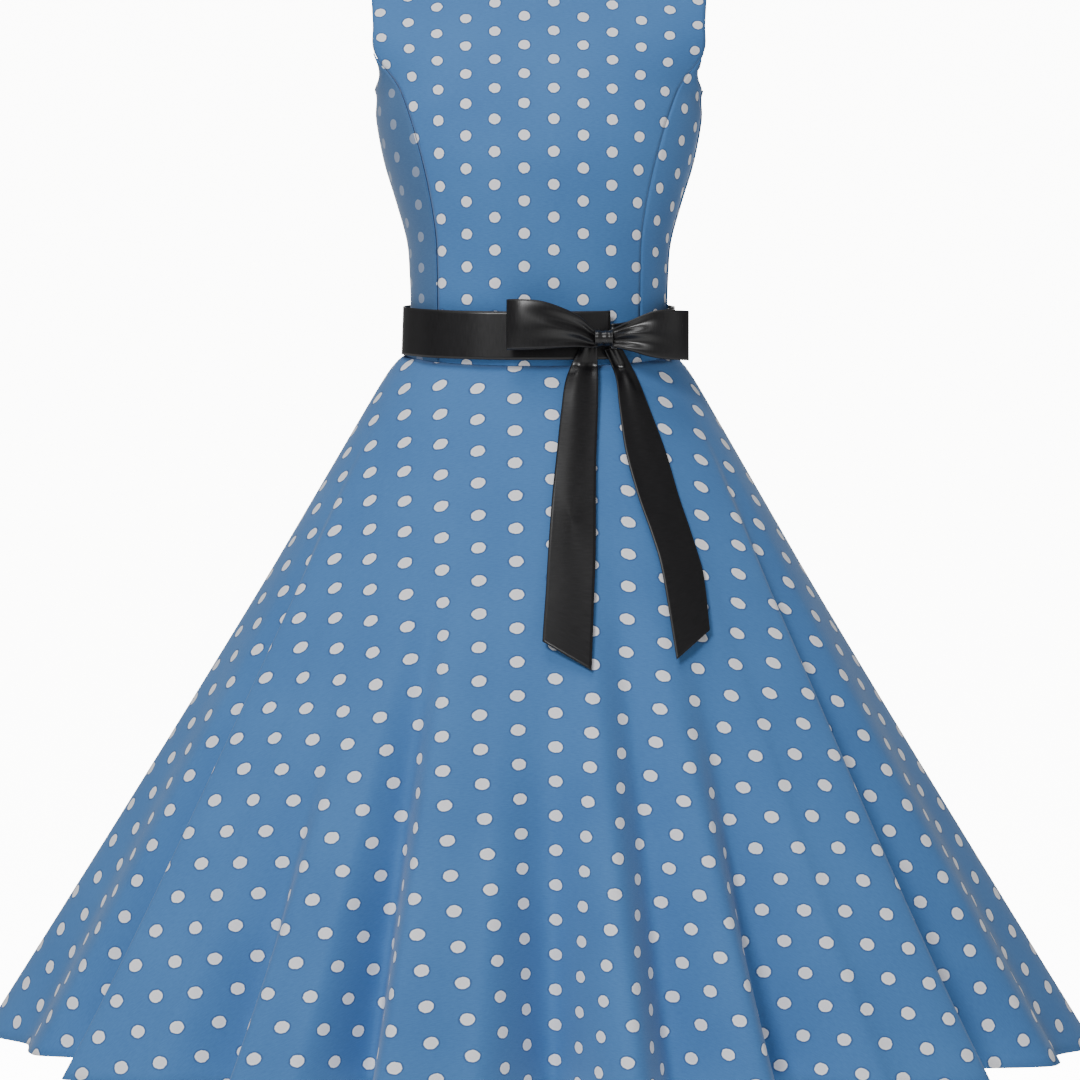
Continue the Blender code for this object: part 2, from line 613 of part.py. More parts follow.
def zip_pull(material):
    """Flat pull tab with a slot; its origin is on the hinge axis, which runs across the back."""
    place = slider_frame()
    axis = place @ Vector((0, GAP + SLIDER_THICKNESS + AXIS_ABOVE_SLIDER, 0))
    tip_height = axis.z - PULL_LENGTH * abs((place.to_3x3() @ Vector((0, 0, 1))).z)
    tip = Vector((0, back_line(tip_height) + PULL_TIP_CLEARANCE, tip_height))
    down = (tip - axis).normalized()
    side = Vector((1, 0, 0))
    turned = Matrix((side, (-down).cross(side), -down)).transposed().to_4x4()

    def ring(mesh, half_width, top, bottom, taper):
        middle, half = (top + bottom) / 2, (top - bottom) / 2
        made = bmesh.ops.create_circle(mesh, segments=PULL_SIDES, radius=1)["verts"]
        for vert in made:
            x, z = signed_power(vert.co.x, 0.5), signed_power(vert.co.y, 0.5)
            vert.co = (half_width * x * (1 - taper * (1 - z) / 2), 0, middle + half * z)
        return {edge for vert in made for edge in vert.link_edges}

    mesh = bmesh.new()
    outer = ring(mesh, PULL_HALF_WIDTH, PULL_BAR, -PULL_LENGTH, 0.25)
    slot = ring(mesh, PULL_SLOT_HALF_WIDTH, -PULL_BAR, -PULL_BAR - PULL_SLOT_LENGTH, 0.0)
    bmesh.ops.bridge_loops(mesh, edges=list(outer | slot))
    swept = bmesh.ops.extrude_face_region(mesh, geom=mesh.faces[:])["geom"]
    copied = {item for item in swept if isinstance(item, bmesh.types.BMVert)}
    for vert in mesh.verts:
        vert.co.y = PULL_THICKNESS / 2 if vert in copied else -PULL_THICKNESS / 2
    pull = finish("zip_pull", mesh, material)
    pull.matrix_world = Matrix.Translation(axis) @ turned


# ------------------------------------------------------------------ the whole dress
def build():
    for thing in list(bpy.data.objects):
        bpy.data.objects.remove(thing)

    cotton = finish_material("dress_cotton", (0.12, 0.27, 0.51), 0.75)
    satin = finish_material("satin_ribbon", (0.012, 0.012, 0.014), 0.35)
    tape = finish_material("zip_tape_cloth", (0.10, 0.24, 0.46), 0.8)
    metal = finish_material("zip_metal", (0.55, 0.56, 0.58), 0.35, metallic=1.0)

    bodice_centre_front(cotton)
    for side, word in ((1, "left"), (-1, "right")):
        bodice_side_front("bodice_side_front_" + word, side, cotton)
        bodice_back("bodice_back_" + word, side, cotton)
    skirt_panel("skirt_front", -90, 90, cotton)
    skirt_panel("skirt_back_left", 90, 180, cotton)
    skirt_panel("skirt_back_right", -180, -90, cotton)

    sash_band(satin)
    bow_loop("bow_loop_right", LEFT_SIDE_LOOP, -1, satin)
    bow_loop("bow_loop_left", RIGHT_SIDE_LOOP, 1, satin)
    bow_knot(satin)
    ribbon_tail("ribbon_tail_right", RIGHT_HAND_TAIL, -1, satin)
    ribbon_tail("ribbon_tail_left", LEFT_HAND_TAIL, 1, satin)

    zip_tape(tape)
    zip_slider(metal)
    zip_pull(metal)


build()
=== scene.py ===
import math
from collections import namedtuple

import bmesh
import bpy
from mathutils import Matrix, Vector


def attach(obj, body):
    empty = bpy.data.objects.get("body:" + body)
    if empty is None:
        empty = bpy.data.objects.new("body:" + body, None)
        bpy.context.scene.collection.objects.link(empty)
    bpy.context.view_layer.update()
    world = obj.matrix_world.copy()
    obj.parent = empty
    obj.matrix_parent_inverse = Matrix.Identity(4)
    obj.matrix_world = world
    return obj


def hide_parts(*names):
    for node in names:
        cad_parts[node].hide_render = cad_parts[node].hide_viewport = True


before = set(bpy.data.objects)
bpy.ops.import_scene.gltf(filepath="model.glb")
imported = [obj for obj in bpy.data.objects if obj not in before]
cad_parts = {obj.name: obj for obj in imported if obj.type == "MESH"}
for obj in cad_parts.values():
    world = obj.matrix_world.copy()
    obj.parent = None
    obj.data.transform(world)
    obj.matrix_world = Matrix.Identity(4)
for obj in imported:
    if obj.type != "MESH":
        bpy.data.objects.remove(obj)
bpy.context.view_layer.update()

# ------------------------------------------------------------------ driving sizes
CLOTH = 0.0015                  # wall of the dress cloth
RIBBON = 0.0012                 # wall of the satin ribbon

NECK_HALF_WIDTH = 0.077
FRONT_NECK_DEPTH = 0.085
BACK_NECK_DEPTH = 0.022
SHOULDER_SLOPE = 0.29           # fall of the shoulder line for each metre outwards
SHOULDER_SOFTNESS = 0.04        # rounds that line where it crosses the centre
WAIST_DIP = 0.016               # the waist seam is this much lower at the front, higher behind
WAIST_DIP_FADES = 4.0           # bodice level at which the dip has gone
SECTION_POWER = 0.87            # sine power of a level section: 1 is an ellipse, less is squarer

HEM_HEIGHT = -1.087
HEM_HALF_WIDTH = 0.5155
HEM_FRONT = 0.375
HEM_BACK = 0.360
SIDE_KICK, FRONT_KICK, BACK_KICK = 0.0079, 0.004, 0.007   # quick flare just under the waist seam
KICK_RUN = 0.012                # share of the skirt's drop in which the kick grows
FOLD_SCALE = 2.0                # deepens every fold in the table below
FOLD_GROWTH = 1.3               # power with which a fold deepens below its start
FOLD_SWING = 2.0                # power with which a fold line turns from its waist to its hem angle

# Level sections of the bodice, from the waist seam up to the shoulder line. panel_edge is how far
# out the centre panel reaches: the princess seam up to the armhole, and the armhole edge above.
Level = namedtuple("Level", "height half_width front back panel_edge")
BODICE = (
    Level(-0.424, 0.1275, 0.0935, 0.0790, 0.0950),    # 0 waist seam
    Level(-0.385, 0.1222, 0.0895, 0.0765, 0.0955),    # 1 waist
    Level(-0.345, 0.1230, 0.0930, 0.0800, 0.0960),
    Level(-0.315, 0.1258, 0.1000, 0.0865, 0.0972),    # 3 ribs
    Level(-0.277, 0.1363, 0.1105, 0.0960, 0.1030),    # 4 under the bust
    Level(-0.240, 0.1475, 0.1165, 0.1050, 0.1115),    # 5 bust
    Level(-0.200, 0.1550, 0.1110, 0.1120, 0.1232),
    Level(-0.171, 0.1565, 0.1005, 0.1140, 0.1350),    # 7 underarm
    Level(-0.140, 0.1800, 0.0870, 0.1135, 0.1565),    # 8 princess seam meets the armhole
    Level(-0.110, 0.2050, 0.0720, 0.1090, 0.1580),    # 9 chest
    Level(-0.075, 0.2120, 0.0520, 0.0980, 0.1600),
    Level(-0.045, 0.2050, 0.0345, 0.0800, 0.1615),
    Level(-0.020, 0.1950, 0.0185, 0.0540, 0.1622),
    Level(-0.005, 0.1880, 0.0070, 0.0250, 0.1628),
    Level(0.000, 0.1850, 0.0000, 0.0000, 0.1630),     # 14 shoulder line
    Level(-0.005, 0.1880, -0.0250, -0.0070, 0.1628),  # over the ridge, so that it is round
)
UNDERARM, JOIN, SHOULDER = 7, 8, 14

# Ridges (+) and valleys (-) of the skirt, in order around it. Angles are in degrees from the
# centre front towards the wearer's left; depth is at the hem; start is the share of the drop at
# which the fold begins; lift raises the hem there.
Fold = namedtuple("Fold", "hem_angle waist_angle depth start lift")
FOLDS = (
    Fold(-171, -171, 0.014, 0.35, 0.000),
    Fold(-160, -160, -0.016, 0.30, 0.000),
    Fold(-150, -151, 0.016, 0.20, 0.000),
    Fold(-139, -140, -0.020, 0.30, 0.000),
    Fold(-128, -130, 0.015, 0.15, 0.003),
    Fold(-117, -119, -0.018, 0.35, 0.006),
    Fold(-105, -107, 0.012, 0.30, 0.010),
    Fold(-94, -96, -0.012, 0.40, 0.014),
    Fold(-83, -87, 0.008, 0.30, 0.016),
    Fold(-72, -79, -0.006, 0.40, 0.014),
    Fold(-62, -74, 0.004, 0.30, 0.012),
    Fold(-54, -69, -0.022, 0.25, 0.010),     # shadow behind the left ridge
    Fold(-49, -64, 0.022, 0.05, 0.002),      # left ridge, from the waist down
    Fold(-41, -52, 0.010, 0.20, 0.000),
    Fold(-34.5, -41, -0.018, 0.50, 0.000),
    Fold(-29.5, -35, 0.014, 0.45, 0.000),
    Fold(-24.5, -30, 0.006, 0.40, 0.000),
    Fold(-20, -25, -0.028, 0.25, 0.000),
    Fold(-14, -18, 0.018, 0.25, 0.000),
    Fold(-6.5, -8, 0.008, 0.40, 0.000),
    Fold(1.5, 0, -0.032, 0.42, 0.000),       # deep valley at the middle
    Fold(8.8, 9.5, 0.018, 0.20, 0.000),
    Fold(14.8, 18, -0.016, 0.20, 0.000),
    Fold(21.3, 25, 0.014, 0.30, 0.000),
    Fold(28.3, 33, -0.032, 0.38, 0.000),
    Fold(36, 43, 0.006, 0.30, 0.000),
    Fold(45, 60, 0.022, 0.05, 0.000),        # right ridge, from the waist down
    Fold(53, 66, -0.026, 0.12, 0.001),       # long shadow behind it
    Fold(64, 73, 0.006, 0.30, 0.001),
    Fold(75, 80, -0.006, 0.40, 0.001),
    Fold(86, 88, 0.008, 0.30, 0.001),
    Fold(97, 98, -0.014, 0.40, 0.000),
    Fold(108, 109, 0.014, 0.25, 0.000),
    Fold(120, 121, -0.018, 0.30, 0.000),
    Fold(131, 132, 0.016, 0.15, 0.000),
    Fold(142, 143, -0.020, 0.35, 0.000),
    Fold(152, 152, 0.014, 0.30, 0.000),
    Fold(161, 161, -0.018, 0.25, 0.000),
    Fold(170, 170, 0.015, 0.20, 0.000),
    Fold(180, 180, -0.012, 0.35, 0.000),
)

# Ribbon sash around the waist.
SASH_HALF_WIDTH, SASH_FRONT, SASH_BACK = 0.1305, 0.0995, 0.0865
SASH_HEIGHT, SASH_DIP = -0.4013, 0.0105
SASH_WIDTH = 0.0455
SASH_FLARE = 0.0015             # the lower edge stands out this much more than the upper one
SASH_PINCH, SASH_PINCH_SPREAD = 0.55, 24.0     # narrowing towards the bow, and its half angle
BOW_ANGLE = 28.0                # the bow sits this far towards the wearer's left

# Bow: each loop runs from the knot out along its front layer, around its outer fold and back.
Turn = namedtuple("Turn", "x y centre half_height")
LEFT_SIDE_LOOP = (
    Turn(0.0575, -0.1095, -0.4145, 0.0062),
    Turn(0.0505, -0.1100, -0.4142, 0.0088),
    Turn(0.0350, -0.1180, -0.4078, 0.0150),
    Turn(0.0060, -0.1250, -0.4030, 0.0215),
    Turn(-0.0180, -0.1240, -0.4022, 0.0233),
    Turn(-0.0305, -0.1150, -0.4023, 0.0234),
    Turn(-0.0200, -0.1080, -0.4026, 0.0230),
    Turn(0.0060, -0.1068, -0.4040, 0.0205),
    Turn(0.0350, -0.1060, -0.4090, 0.0130),
    Turn(0.0505, -0.1042, -0.4142, 0.0088),
    Turn(0.0575, -0.1038, -0.4145, 0.0062),
)
RIGHT_SIDE_LOOP = (
    Turn(0.0635, -0.1095, -0.4145, 0.0062),
    Turn(0.0705, -0.1102, -0.4145, 0.0088),
    Turn(0.0860, -0.1145, -0.4128, 0.0145),
    Turn(0.1080, -0.1150, -0.4113, 0.0220),
    Turn(0.1290, -0.1085, -0.4116, 0.0233),
    Turn(0.1405, -0.0985, -0.4118, 0.0232),
    Turn(0.1300, -0.0945, -0.4118, 0.0225),
    Turn(0.1080, -0.0985, -0.4115, 0.0200),
    Turn(0.0860, -0.1022, -0.4130, 0.0130),
    Turn(0.0705, -0.1042, -0.4145, 0.0088),
    Turn(0.0635, -0.1038, -0.4145, 0.0062),
)

KNOT_CENTRE = Vector((0.0605, -0.1066, -0.4145))
KNOT_HALF_LENGTH = 0.0082
KNOT_HALF_DEPTH, KNOT_HALF_HEIGHT = 0.0095, 0.0082

# Ribbon tails: left and right edges across the front at each height, and how far they stand off.
Hang = namedtuple("Hang", "height left right lift")
RIGHT_HAND_TAIL = (               # the tail nearer the middle
    Hang(-0.4224, 0.0385, 0.0535, 0.0150),
    Hang(-0.4510, 0.0255, 0.0551, 0.0105),
    Hang(-0.4833, 0.0204, 0.0547, 0.0075),
    Hang(-0.5276, 0.0157, 0.0530, 0.0065),
    Hang(-0.5636, 0.0119, 0.0525, 0.0065),
    Hang(-0.6140, 0.0082, 0.0520, 0.0070),
    Hang(-0.6600, 0.0056, 0.0500, 0.0100),
    Hang(-0.7075, 0.0030, 0.0475, 0.0135),
)
LEFT_HAND_TAIL = (                # the tail further out
    Hang(-0.4240, 0.0617, 0.0785, 0.0120),
    Hang(-0.4490, 0.0719, 0.0915, 0.0100),
    Hang(-0.4785, 0.0752, 0.1030, 0.0080),
    Hang(-0.5200, 0.0806, 0.1180, 0.0070),
    Hang(-0.5617, 0.0917, 0.1298, 0.0070),
    Hang(-0.5975, 0.1040, 0.1414, 0.0070),
    Hang(-0.6348, 0.1145, 0.1513, 0.0070),
    Hang(-0.6984, 0.1255, 0.1565, 0.0115),
)
TAIL_CUT_SLANT = 0.013          # a tail's end corners lie this far above and below its end


# ------------------------------------------------------------------ curves and tables
def along(table, column, place):
    """Smooth value of a named column at a place counted in rows from the first one."""
    last = len(table) - 1
    row = min(max(int(place), 0), last - 1)
    near = [getattr(table[min(max(row + step, 0), last)], column) for step in (-1, 0, 1, 2)]
    share = place - row
    start_slope = (near[2] - near[0]) / 2
    end_slope = (near[3] - near[1]) / 2
    change = near[2] - near[1]
    square = share * share
    return (near[1] + start_slope * share + (3 * change - 2 * start_slope - end_slope) * square
            + (start_slope + end_slope - 2 * change) * square * share)


def soft_step(share):
    share = min(max(share, 0.0), 1.0)
    return share * share * (3 - 2 * share)


def signed_power(value, power):
    return math.copysign(abs(value) ** power, value)


def section(angle, half_width, front, back, power):
    """Point of a level section; angle 0 is the centre front and +90 degrees the wearer's left."""
    depth = front if math.cos(angle) >= 0 else back
    return (half_width * signed_power(math.sin(angle), power),
            -depth * signed_power(math.cos(angle), power))


def bisect(function, low, high):
    """Where a rising function crosses zero."""
    for _ in range(40):
        middle = (low + high) / 2
        if function(middle) < 0:
            low = middle
        else:
            high = middle
    return (low + high) / 2


# ------------------------------------------------------------------ surfaces of the dress
def bodice(angle, level):
    half_width = along(BODICE, "half_width", level)
    x, y = section(angle, half_width, along(BODICE, "front", level),
                   along(BODICE, "back", level), SECTION_POWER)
    low = max(0.0, 1 - level / WAIST_DIP_FADES) ** 2
    high = soft_step((level - UNDERARM) / (SHOULDER - UNDERARM))
    fall = math.hypot(x, SHOULDER_SOFTNESS) - math.hypot(NECK_HALF_WIDTH, SHOULDER_SOFTNESS)
    z = (along(BODICE, "height", level) - WAIST_DIP * math.cos(angle) * low
         - SHOULDER_SLOPE * fall * high)
    return Vector((x, y, z))


def angle_at(x, level):
    """Angle from the centre line at which the bodice is x wide."""
    share = min(x / along(BODICE, "half_width", level), 1.0)
    return math.asin(share ** (1 / SECTION_POWER))


def front_edge(level):
    return angle_at(along(BODICE, "panel_edge", level), level)


def back_edge(level):
    """Half angle of a back panel: the side seam, then the armhole's round bottom and its edge."""
    if level <= UNDERARM:
        return math.pi / 2
    if level >= JOIN:
        return front_edge(level)
    share = (JOIN - level) / (JOIN - UNDERARM)
    return math.pi / 2 - (math.pi / 2 - front_edge(JOIN)) * math.sqrt(1 - share * share)


def armhole_level(share):
    """Level of the armhole's front lower edge, from the princess seam (0) to the underarm (1)."""
    return UNDERARM + (JOIN - UNDERARM) * (1 - math.sqrt(1 - (1 - share) ** 2))


def neck_column(edge):
    """Share of the panel's half angle at which its column runs up to the neck's corner."""
    return bisect(lambda share: bodice(share * edge(SHOULDER), SHOULDER).x - NECK_HALF_WIDTH, 0, 1)


def column_top(share, edge, neck_depth):
    """Level at which a column ends: on the neckline, or else on the shoulder seam."""
    if share >= neck_column(edge) - 1e-6:
        return SHOULDER

    def inside_neck(level):
        point = bodice(share * edge(level), level)
        return 1 - (point.x / NECK_HALF_WIDTH) ** 2 - (point.z / neck_depth) ** 2

    return bisect(inside_neck, UNDERARM - 1, SHOULDER)


def column_level(row, top):
    """Rows follow the levels up to the princess seam's end, then spread to the column's top."""
    return row if row <= JOIN else JOIN + (row - JOIN) * (top - JOIN) / (SHOULDER - JOIN)


def fold_mix(hem_angle, value):
    """Blend a value of the folds on either side of an angle."""
    for before, after in zip(FOLDS[-1:] + FOLDS[:-1], FOLDS):
        low = before.hem_angle - (360 if before.hem_angle > after.hem_angle else 0)
        if hem_angle <= after.hem_angle:
            share = soft_step((hem_angle - low) / (after.hem_angle - low))
            return value(before) + (value(after) - value(before)) * share
    return value(FOLDS[-1])


def fold_depth(hem_angle, drop):
    def grown(fold):
        return FOLD_SCALE * fold.depth * max(0.0, (drop - fold.start) / (1 - fold.start)) ** FOLD_GROWTH

    return fold_mix(hem_angle, grown)


def skirt_base(angle, drop):
    """The skirt's flare without its folds."""
    waist = BODICE[0]
    kick = (1 - math.exp(-drop / KICK_RUN)) * (1 - drop)
    half_width = waist.half_width + (HEM_HALF_WIDTH - waist.half_width) * drop + SIDE_KICK * kick
    front = waist.front + (HEM_FRONT - waist.front) * drop + FRONT_KICK * kick
    back = waist.back + (HEM_BACK - waist.back) * drop + BACK_KICK * kick
    power = SECTION_POWER + (1 - SECTION_POWER) * min(1.0, 3 * drop)
    return section(angle, half_width, front, back, power)


def skirt(hem_angle, rise):
    """Skirt surface; hem_angle in degrees, rise 1 at the waist seam and 0 at the hem."""
    drop = 1 - rise
    swing = fold_mix(hem_angle, lambda fold: fold.waist_angle - fold.hem_angle)
    angle = math.radians(hem_angle + swing * rise ** FOLD_SWING)
    x, y = skirt_base(angle, drop)
    out = 1 + fold_depth(hem_angle, drop) / math.hypot(x, y)
    waist_height = BODICE[0].height - WAIST_DIP * math.cos(angle)
    hem_height = HEM_HEIGHT + fold_mix(hem_angle, lambda fold: fold.lift)
    return Vector((x * out, y * out, waist_height + (hem_height - waist_height) * drop))


def front_of_skirt(x, z):
    """How far forward the smooth skirt front is, at a place seen from the front."""
    top = BODICE[0].height - WAIST_DIP
    drop = min(max((top - z) / (top - HEM_HEIGHT), 0.0), 1.0)
    angle = bisect(lambda turn: skirt_base(turn, drop)[0] - x, 0, math.pi / 2)
    return skirt_base(angle, drop)[1]


# ------------------------------------------------------------------ looks
CAMERA_DISTANCE = 3.889
CAMERA_HEIGHT = -0.603
LENS = 135
SENSOR_WIDTH = 36
CAMERA_SIDE = 0.0009
FLOOR_HEIGHT, FLOOR_HALF = -1.95, 12.0
BACKDROP, BACKDROP_HALF = 6.0, 1.7                # distance of the bright screen behind, half its size
WORLD_GLOW, FLOOR_GLOW, BACKDROP_GLOW = 0.2, 0.35, 11.0
LIGHTS_AIM = (0, 0, -0.6)
StudioLight = namedtuple("StudioLight", "name place size power")
STUDIO_LIGHTS = (
    StudioLight("key", (-1.2, -3.4, 1.3), 0.9, 92),
    StudioLight("fill", (2.6, -2.4, 0.4), 1.6, 5),
    StudioLight("top", (-0.4, -0.9, 2.4), 1.4, 34),
)

COTTON, COTTON_SHADE = (0.073, 0.218, 0.50), (0.052, 0.165, 0.41)
REVERSE, REVERSE_SHADE = (0.07, 0.16, 0.33), (0.05, 0.12, 0.26)
DOT_PAINT, DOT_RIM, DOT_OUTLINE = (0.88, 0.88, 0.93), (0.97, 0.97, 0.98), (0.035, 0.085, 0.23)
PRINT_SHOWS_THROUGH = 0.22                        # strength of the dots on the reverse
SATIN, SATIN_GLINT = (0.0045, 0.0042, 0.005), (0.012, 0.011, 0.013)
TAPE, TAPE_TWILL, TAPE_COIL = (0.07, 0.17, 0.36), (0.11, 0.25, 0.48), (0.16, 0.32, 0.58)
METAL_WORN, METAL_BRIGHT = (0.5, 0.51, 0.53), (0.68, 0.68, 0.7)
YARNS = 260.0                                     # yarn waves for each dot column or repeat

BODICE_COLUMN, BODICE_REPEAT = 0.0277, 0.031      # spacing of the dots on the bodice
SKIRT_COLUMN, SKIRT_REPEAT = 0.0345, 0.0345       # wider on the skirt
BODICE_DOT_START = (40.5, 40.0)                   # dot count at the waist on the centre line
SKIRT_DOT_START = (60.5, 40.0)
SKIRT_CUT_RADIUS, SKIRT_CUT_LENGTH = 0.146, 0.735 # three-quarter circle cut
SEAM_LINE = 0.00035                               # half the fine line left open at a seam
COLUMNS_A_DEGREE = 2.4                            # fineness of the skirt's mesh
LENGTH_ANGLE = 0.35                               # angle at which a bodice panel's height is measured
UNDERARM_ROWS = [7, 7.03, 7.12, 7.3, 7.6]         # rows close together where the armhole starts

SASH_CREASE, SASH_CREASE_REACH = 0.0009, 40       # small creases beside the bow, reach in degrees
SASH_RIPPLES = ((0.0006, 7), (0.0005, 13))        # depth and count round the waist
LOOP_GATHER, LOOP_BELLY, LOOP_CREASE = 0.0019, 0.0022, 0.0016
GATHER_PLACE, GATHER_REACH = 1.6, 1.3             # where along a loop its gathers are deepest
TAIL_FOLD, TAIL_FOLD_REACH, TAIL_CURL = 0.0026, 1.6, 0.0016
TAIL_END = 1.5                                    # the slanted cut starts this far before the end
KNOT_WAIST, KNOT_PLEAT, KNOT_PLEATS = 0.10, 0.035, 16


class Sock:
    """A shader socket that adds, multiplies and so on by making Math nodes."""

    def __init__(self, tree, socket):
        self.tree = tree
        self.socket = socket

    def node(self, kind, settings=None, **sockets):
        made = self.tree.nodes.new(kind)
        for name, value in (settings or {}).items():
            setattr(made, name, value)
        for name, value in sockets.items():
            target = made.inputs[name.replace("_", " ")]
            if isinstance(value, Sock):
                self.tree.links.new(value.socket, target)
            else:
                target.default_value = value
        return made

    def wrap(self, socket):
        return Sock(self.tree, socket)

    def maths(self, operation, other=0.0, third=0.0, clamp=False):
        made = self.tree.nodes.new("ShaderNodeMath")
        made.operation = operation
        made.use_clamp = clamp
        for slot_number, value in enumerate((self, other, third)):
            if isinstance(value, Sock):
                self.tree.links.new(value.socket, made.inputs[slot_number])
            else:
                made.inputs[slot_number].default_value = value
        return Sock(self.tree, made.outputs[0])

    def __add__(self, other):
        return self.maths("ADD", other)

    __radd__ = __add__

    def __mul__(self, other):
        return self.maths("MULTIPLY", other)

    __rmul__ = __mul__

    def __sub__(self, other):
        return self.maths("SUBTRACT", other)

    def __rsub__(self, other):
        return self * -1.0 + other

    def __truediv__(self, other):
        return self.maths("DIVIDE", other)

    def ramp(self, low, high):
        """0 below low and 1 above high, smooth between."""
        made = self.node("ShaderNodeMapRange", {"interpolation_type": "SMOOTHSTEP"})
        self.tree.links.new(self.socket, made.inputs["Value"])
        made.inputs["From Min"].default_value = low
        made.inputs["From Max"].default_value = high
        return self.wrap(made.outputs["Result"])

    def mixed(self, first, second):
        """Colour mix with this socket as the factor."""
        made = self.node("ShaderNodeMix", {"data_type": "RGBA"})
        self.tree.links.new(self.socket, made.inputs[0])
        for slot_number, value in ((6, first), (7, second)):
            if isinstance(value, Sock):
                self.tree.links.new(value.socket, made.inputs[slot_number])
            else:
                made.inputs[slot_number].default_value = (*value, 1.0)
        return self.wrap(made.outputs[2])


def new_material(name):
    material = bpy.data.materials.new(name)
    material.use_nodes = True
    tree = material.node_tree
    shader = tree.nodes["Principled BSDF"]
    return material, tree, shader


def add_bump(tree, shader, height, strength, distance):
    bump = tree.nodes.new("ShaderNodeBump")
    bump.inputs["Strength"].default_value = strength
    bump.inputs["Distance"].default_value = distance
    tree.links.new(height.socket, bump.inputs["Height"])
    tree.links.new(bump.outputs[0], shader.inputs["Normal"])


def flat_place(tree):
    """The cloth's own coordinates: across and along, counted in dot columns and repeats."""
    made = tree.nodes.new("ShaderNodeUVMap")
    made.uv_map = "cloth"
    split = tree.nodes.new("ShaderNodeSeparateXYZ")
    tree.links.new(made.outputs[0], split.inputs[0])
    return (Sock(tree, made.outputs[0]), Sock(tree, split.outputs[0]), Sock(tree, split.outputs[1]))


def dotted_cotton(name, dot_half_width, dot_half_height, cloth, shade, dot_strength):
    """Matte cotton with a half-drop repeat of small pale dots, each with a bright rim."""
    material, tree, shader = new_material(name)
    place, across, along_cloth = flat_place(tree)

    column = across.maths("ROUND")
    odd = (column * 0.5).maths("FRACT").maths("ABSOLUTE").maths("GREATER_THAN", 0.25)
    off_side = (across - column) / dot_half_width
    shifted = along_cloth + odd * 0.5
    off_up = (shifted - shifted.maths("ROUND")) / dot_half_height
    ragged = place.node("ShaderNodeTexNoise", {"noise_dimensions": "2D"}, Vector=place,
                        Scale=9.0, Detail=2.0)
    radius = (off_side * off_side + off_up * off_up).maths("SQRT")
    radius = radius + (place.wrap(ragged.outputs["Fac"]) - 0.5) * 0.22
    dot = 1.0 - radius.ramp(0.93, 1.03)
    rim = radius.ramp(0.62, 0.86) * dot
    outline = radius.ramp(0.96, 1.06) * (1.0 - radius.ramp(1.12, 1.34))

    stretched = place.node("ShaderNodeMapping")
    tree.links.new(place.socket, stretched.inputs["Vector"])
    stretched.inputs["Scale"].default_value = (1.0, 7.0, 1.0)
    slub = place.node("ShaderNodeTexNoise", {"noise_dimensions": "2D"},
                      Vector=place.wrap(stretched.outputs[0]), Scale=5.0, Detail=6.0, Roughness=0.7)
    cloudy = place.node("ShaderNodeTexNoise", {"noise_dimensions": "2D"}, Vector=place,
                        Scale=0.35, Detail=2.0)
    weft = (along_cloth * YARNS).maths("SINE")
    warp = (across * YARNS).maths("SINE")
    slub_height = place.wrap(slub.outputs["Fac"])

    tone = slub_height * 0.75 + place.wrap(cloudy.outputs["Fac"]) * 0.35 - 0.05
    ground = tone.ramp(0.15, 0.85).mixed(shade, cloth)
    inked = (outline * 0.62 * dot_strength).mixed(ground, DOT_OUTLINE)
    pale = rim.mixed(DOT_PAINT, DOT_RIM)
    colour = (dot * dot_strength).mixed(inked, pale)
    tree.links.new(colour.socket, shader.inputs["Base Color"])

    height = slub_height * 0.6 + (weft * warp) * 0.12 + dot * 0.1
    add_bump(tree, shader, height, 0.35, 0.0005)
    roughness = slub_height * 0.12 + 0.72
    tree.links.new(roughness.socket, shader.inputs["Roughness"])
    shader.inputs["Sheen Weight"].default_value = 0.18
    shader.inputs["Sheen Roughness"].default_value = 0.45
    shader.inputs["Specular IOR Level"].default_value = 0.25
    return material


def black_satin():
    """Black ribbon: fine weft lines, soft gloss that varies, slightly lighter woven edges."""
    material, tree, shader = new_material("satin_ribbon")
    place, across, along_cloth = flat_place(tree)
    stretched = place.node("ShaderNodeMapping")
    tree.links.new(place.socket, stretched.inputs["Vector"])
    stretched.inputs["Scale"].default_value = (1.0, 320.0, 1.0)
    streak = place.node("ShaderNodeTexNoise", {"noise_dimensions": "2D"},
                        Vector=place.wrap(stretched.outputs[0]), Scale=4.0, Detail=3.0)
    streaks = place.wrap(streak.outputs["Fac"])
    edge = (across - 0.5).maths("ABSOLUTE").ramp(0.455, 0.49)
    colour = (streaks.ramp(0.3, 0.8) * 0.5 + edge * 0.5).mixed(SATIN, SATIN_GLINT)
    tree.links.new(colour.socket, shader.inputs["Base Color"])
    roughness = streaks * 0.12 + edge * 0.15 + 0.27
    tree.links.new(roughness.socket, shader.inputs["Roughness"])
    add_bump(tree, shader, streaks + edge * 0.8, 0.10, 0.0003)
    shader.inputs["Anisotropic"].default_value = 0.4
    shader.inputs["Specular IOR Level"].default_value = 0.55
    return material


def woven_tape():
    material, tree, shader = new_material("zip_tape_cloth")
    place, across, along_cloth = flat_place(tree)
    teeth = (across - 0.5).maths("ABSOLUTE")
    coil = (1.0 - teeth.ramp(0.07, 0.1)) * (along_cloth * 2400.0).maths("SINE").ramp(-0.4, 0.6)
    twill = ((across * 60.0 + along_cloth * 900.0).maths("SINE")).ramp(-1.0, 1.0)
    colour = coil.mixed(twill.mixed(TAPE, TAPE_TWILL), TAPE_COIL)
    tree.links.new(colour.socket, shader.inputs["Base Color"])
    add_bump(tree, shader, coil + twill * 0.2, 1.0, 0.0006)
    shader.inputs["Roughness"].default_value = 0.7
    return material


